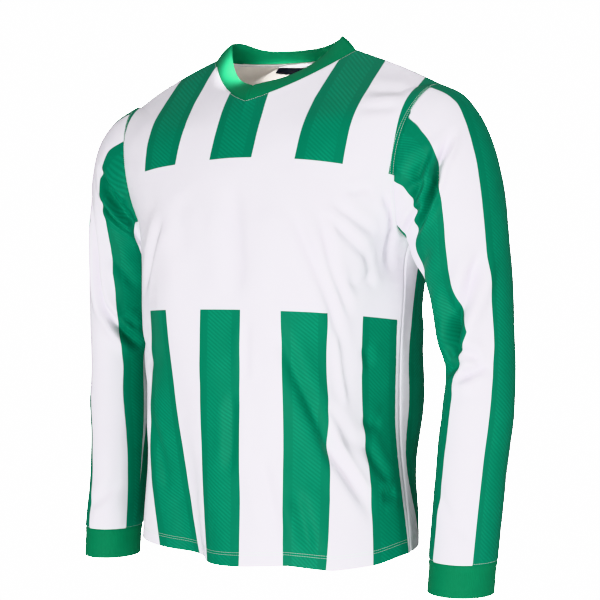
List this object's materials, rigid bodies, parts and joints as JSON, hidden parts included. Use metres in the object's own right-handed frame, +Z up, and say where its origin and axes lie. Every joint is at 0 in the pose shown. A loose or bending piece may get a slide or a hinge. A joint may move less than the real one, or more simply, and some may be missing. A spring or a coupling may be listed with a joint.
{
  "type": "long-sleeve jersey",
  "caption": "Long-sleeve V-neck jersey in white knit with broad green vertical stripes, rib collar and cuffs, filled out as if worn.",
  "frame": {"origin": "midway between the two points where the collar meets the shoulder seams", "axes": "+Z up as worn, -Y to the front, +X to the wearer's left"},
  "size_m": [0.646, 0.285, 0.722],
  "materials": {
    "striped_knit": "smooth polyester interlock knit, white with printed green stripes",
    "rib_knit": "matt green polyester rib knit",
    "neck_tape": "white woven tape",
    "neck_label": "plain near-black printed label"
  },
  "bodies": {
    "root": {"front": "striped_knit", "back": "striped_knit", "sleeve_left": "striped_knit", "sleeve_right": "striped_knit", "cuff_left": "rib_knit", "cuff_right": "rib_knit", "collar": "rib_knit", "neck_tape": "neck_tape", "neck_label": "neck_label"}
  },
  "joints": []
}
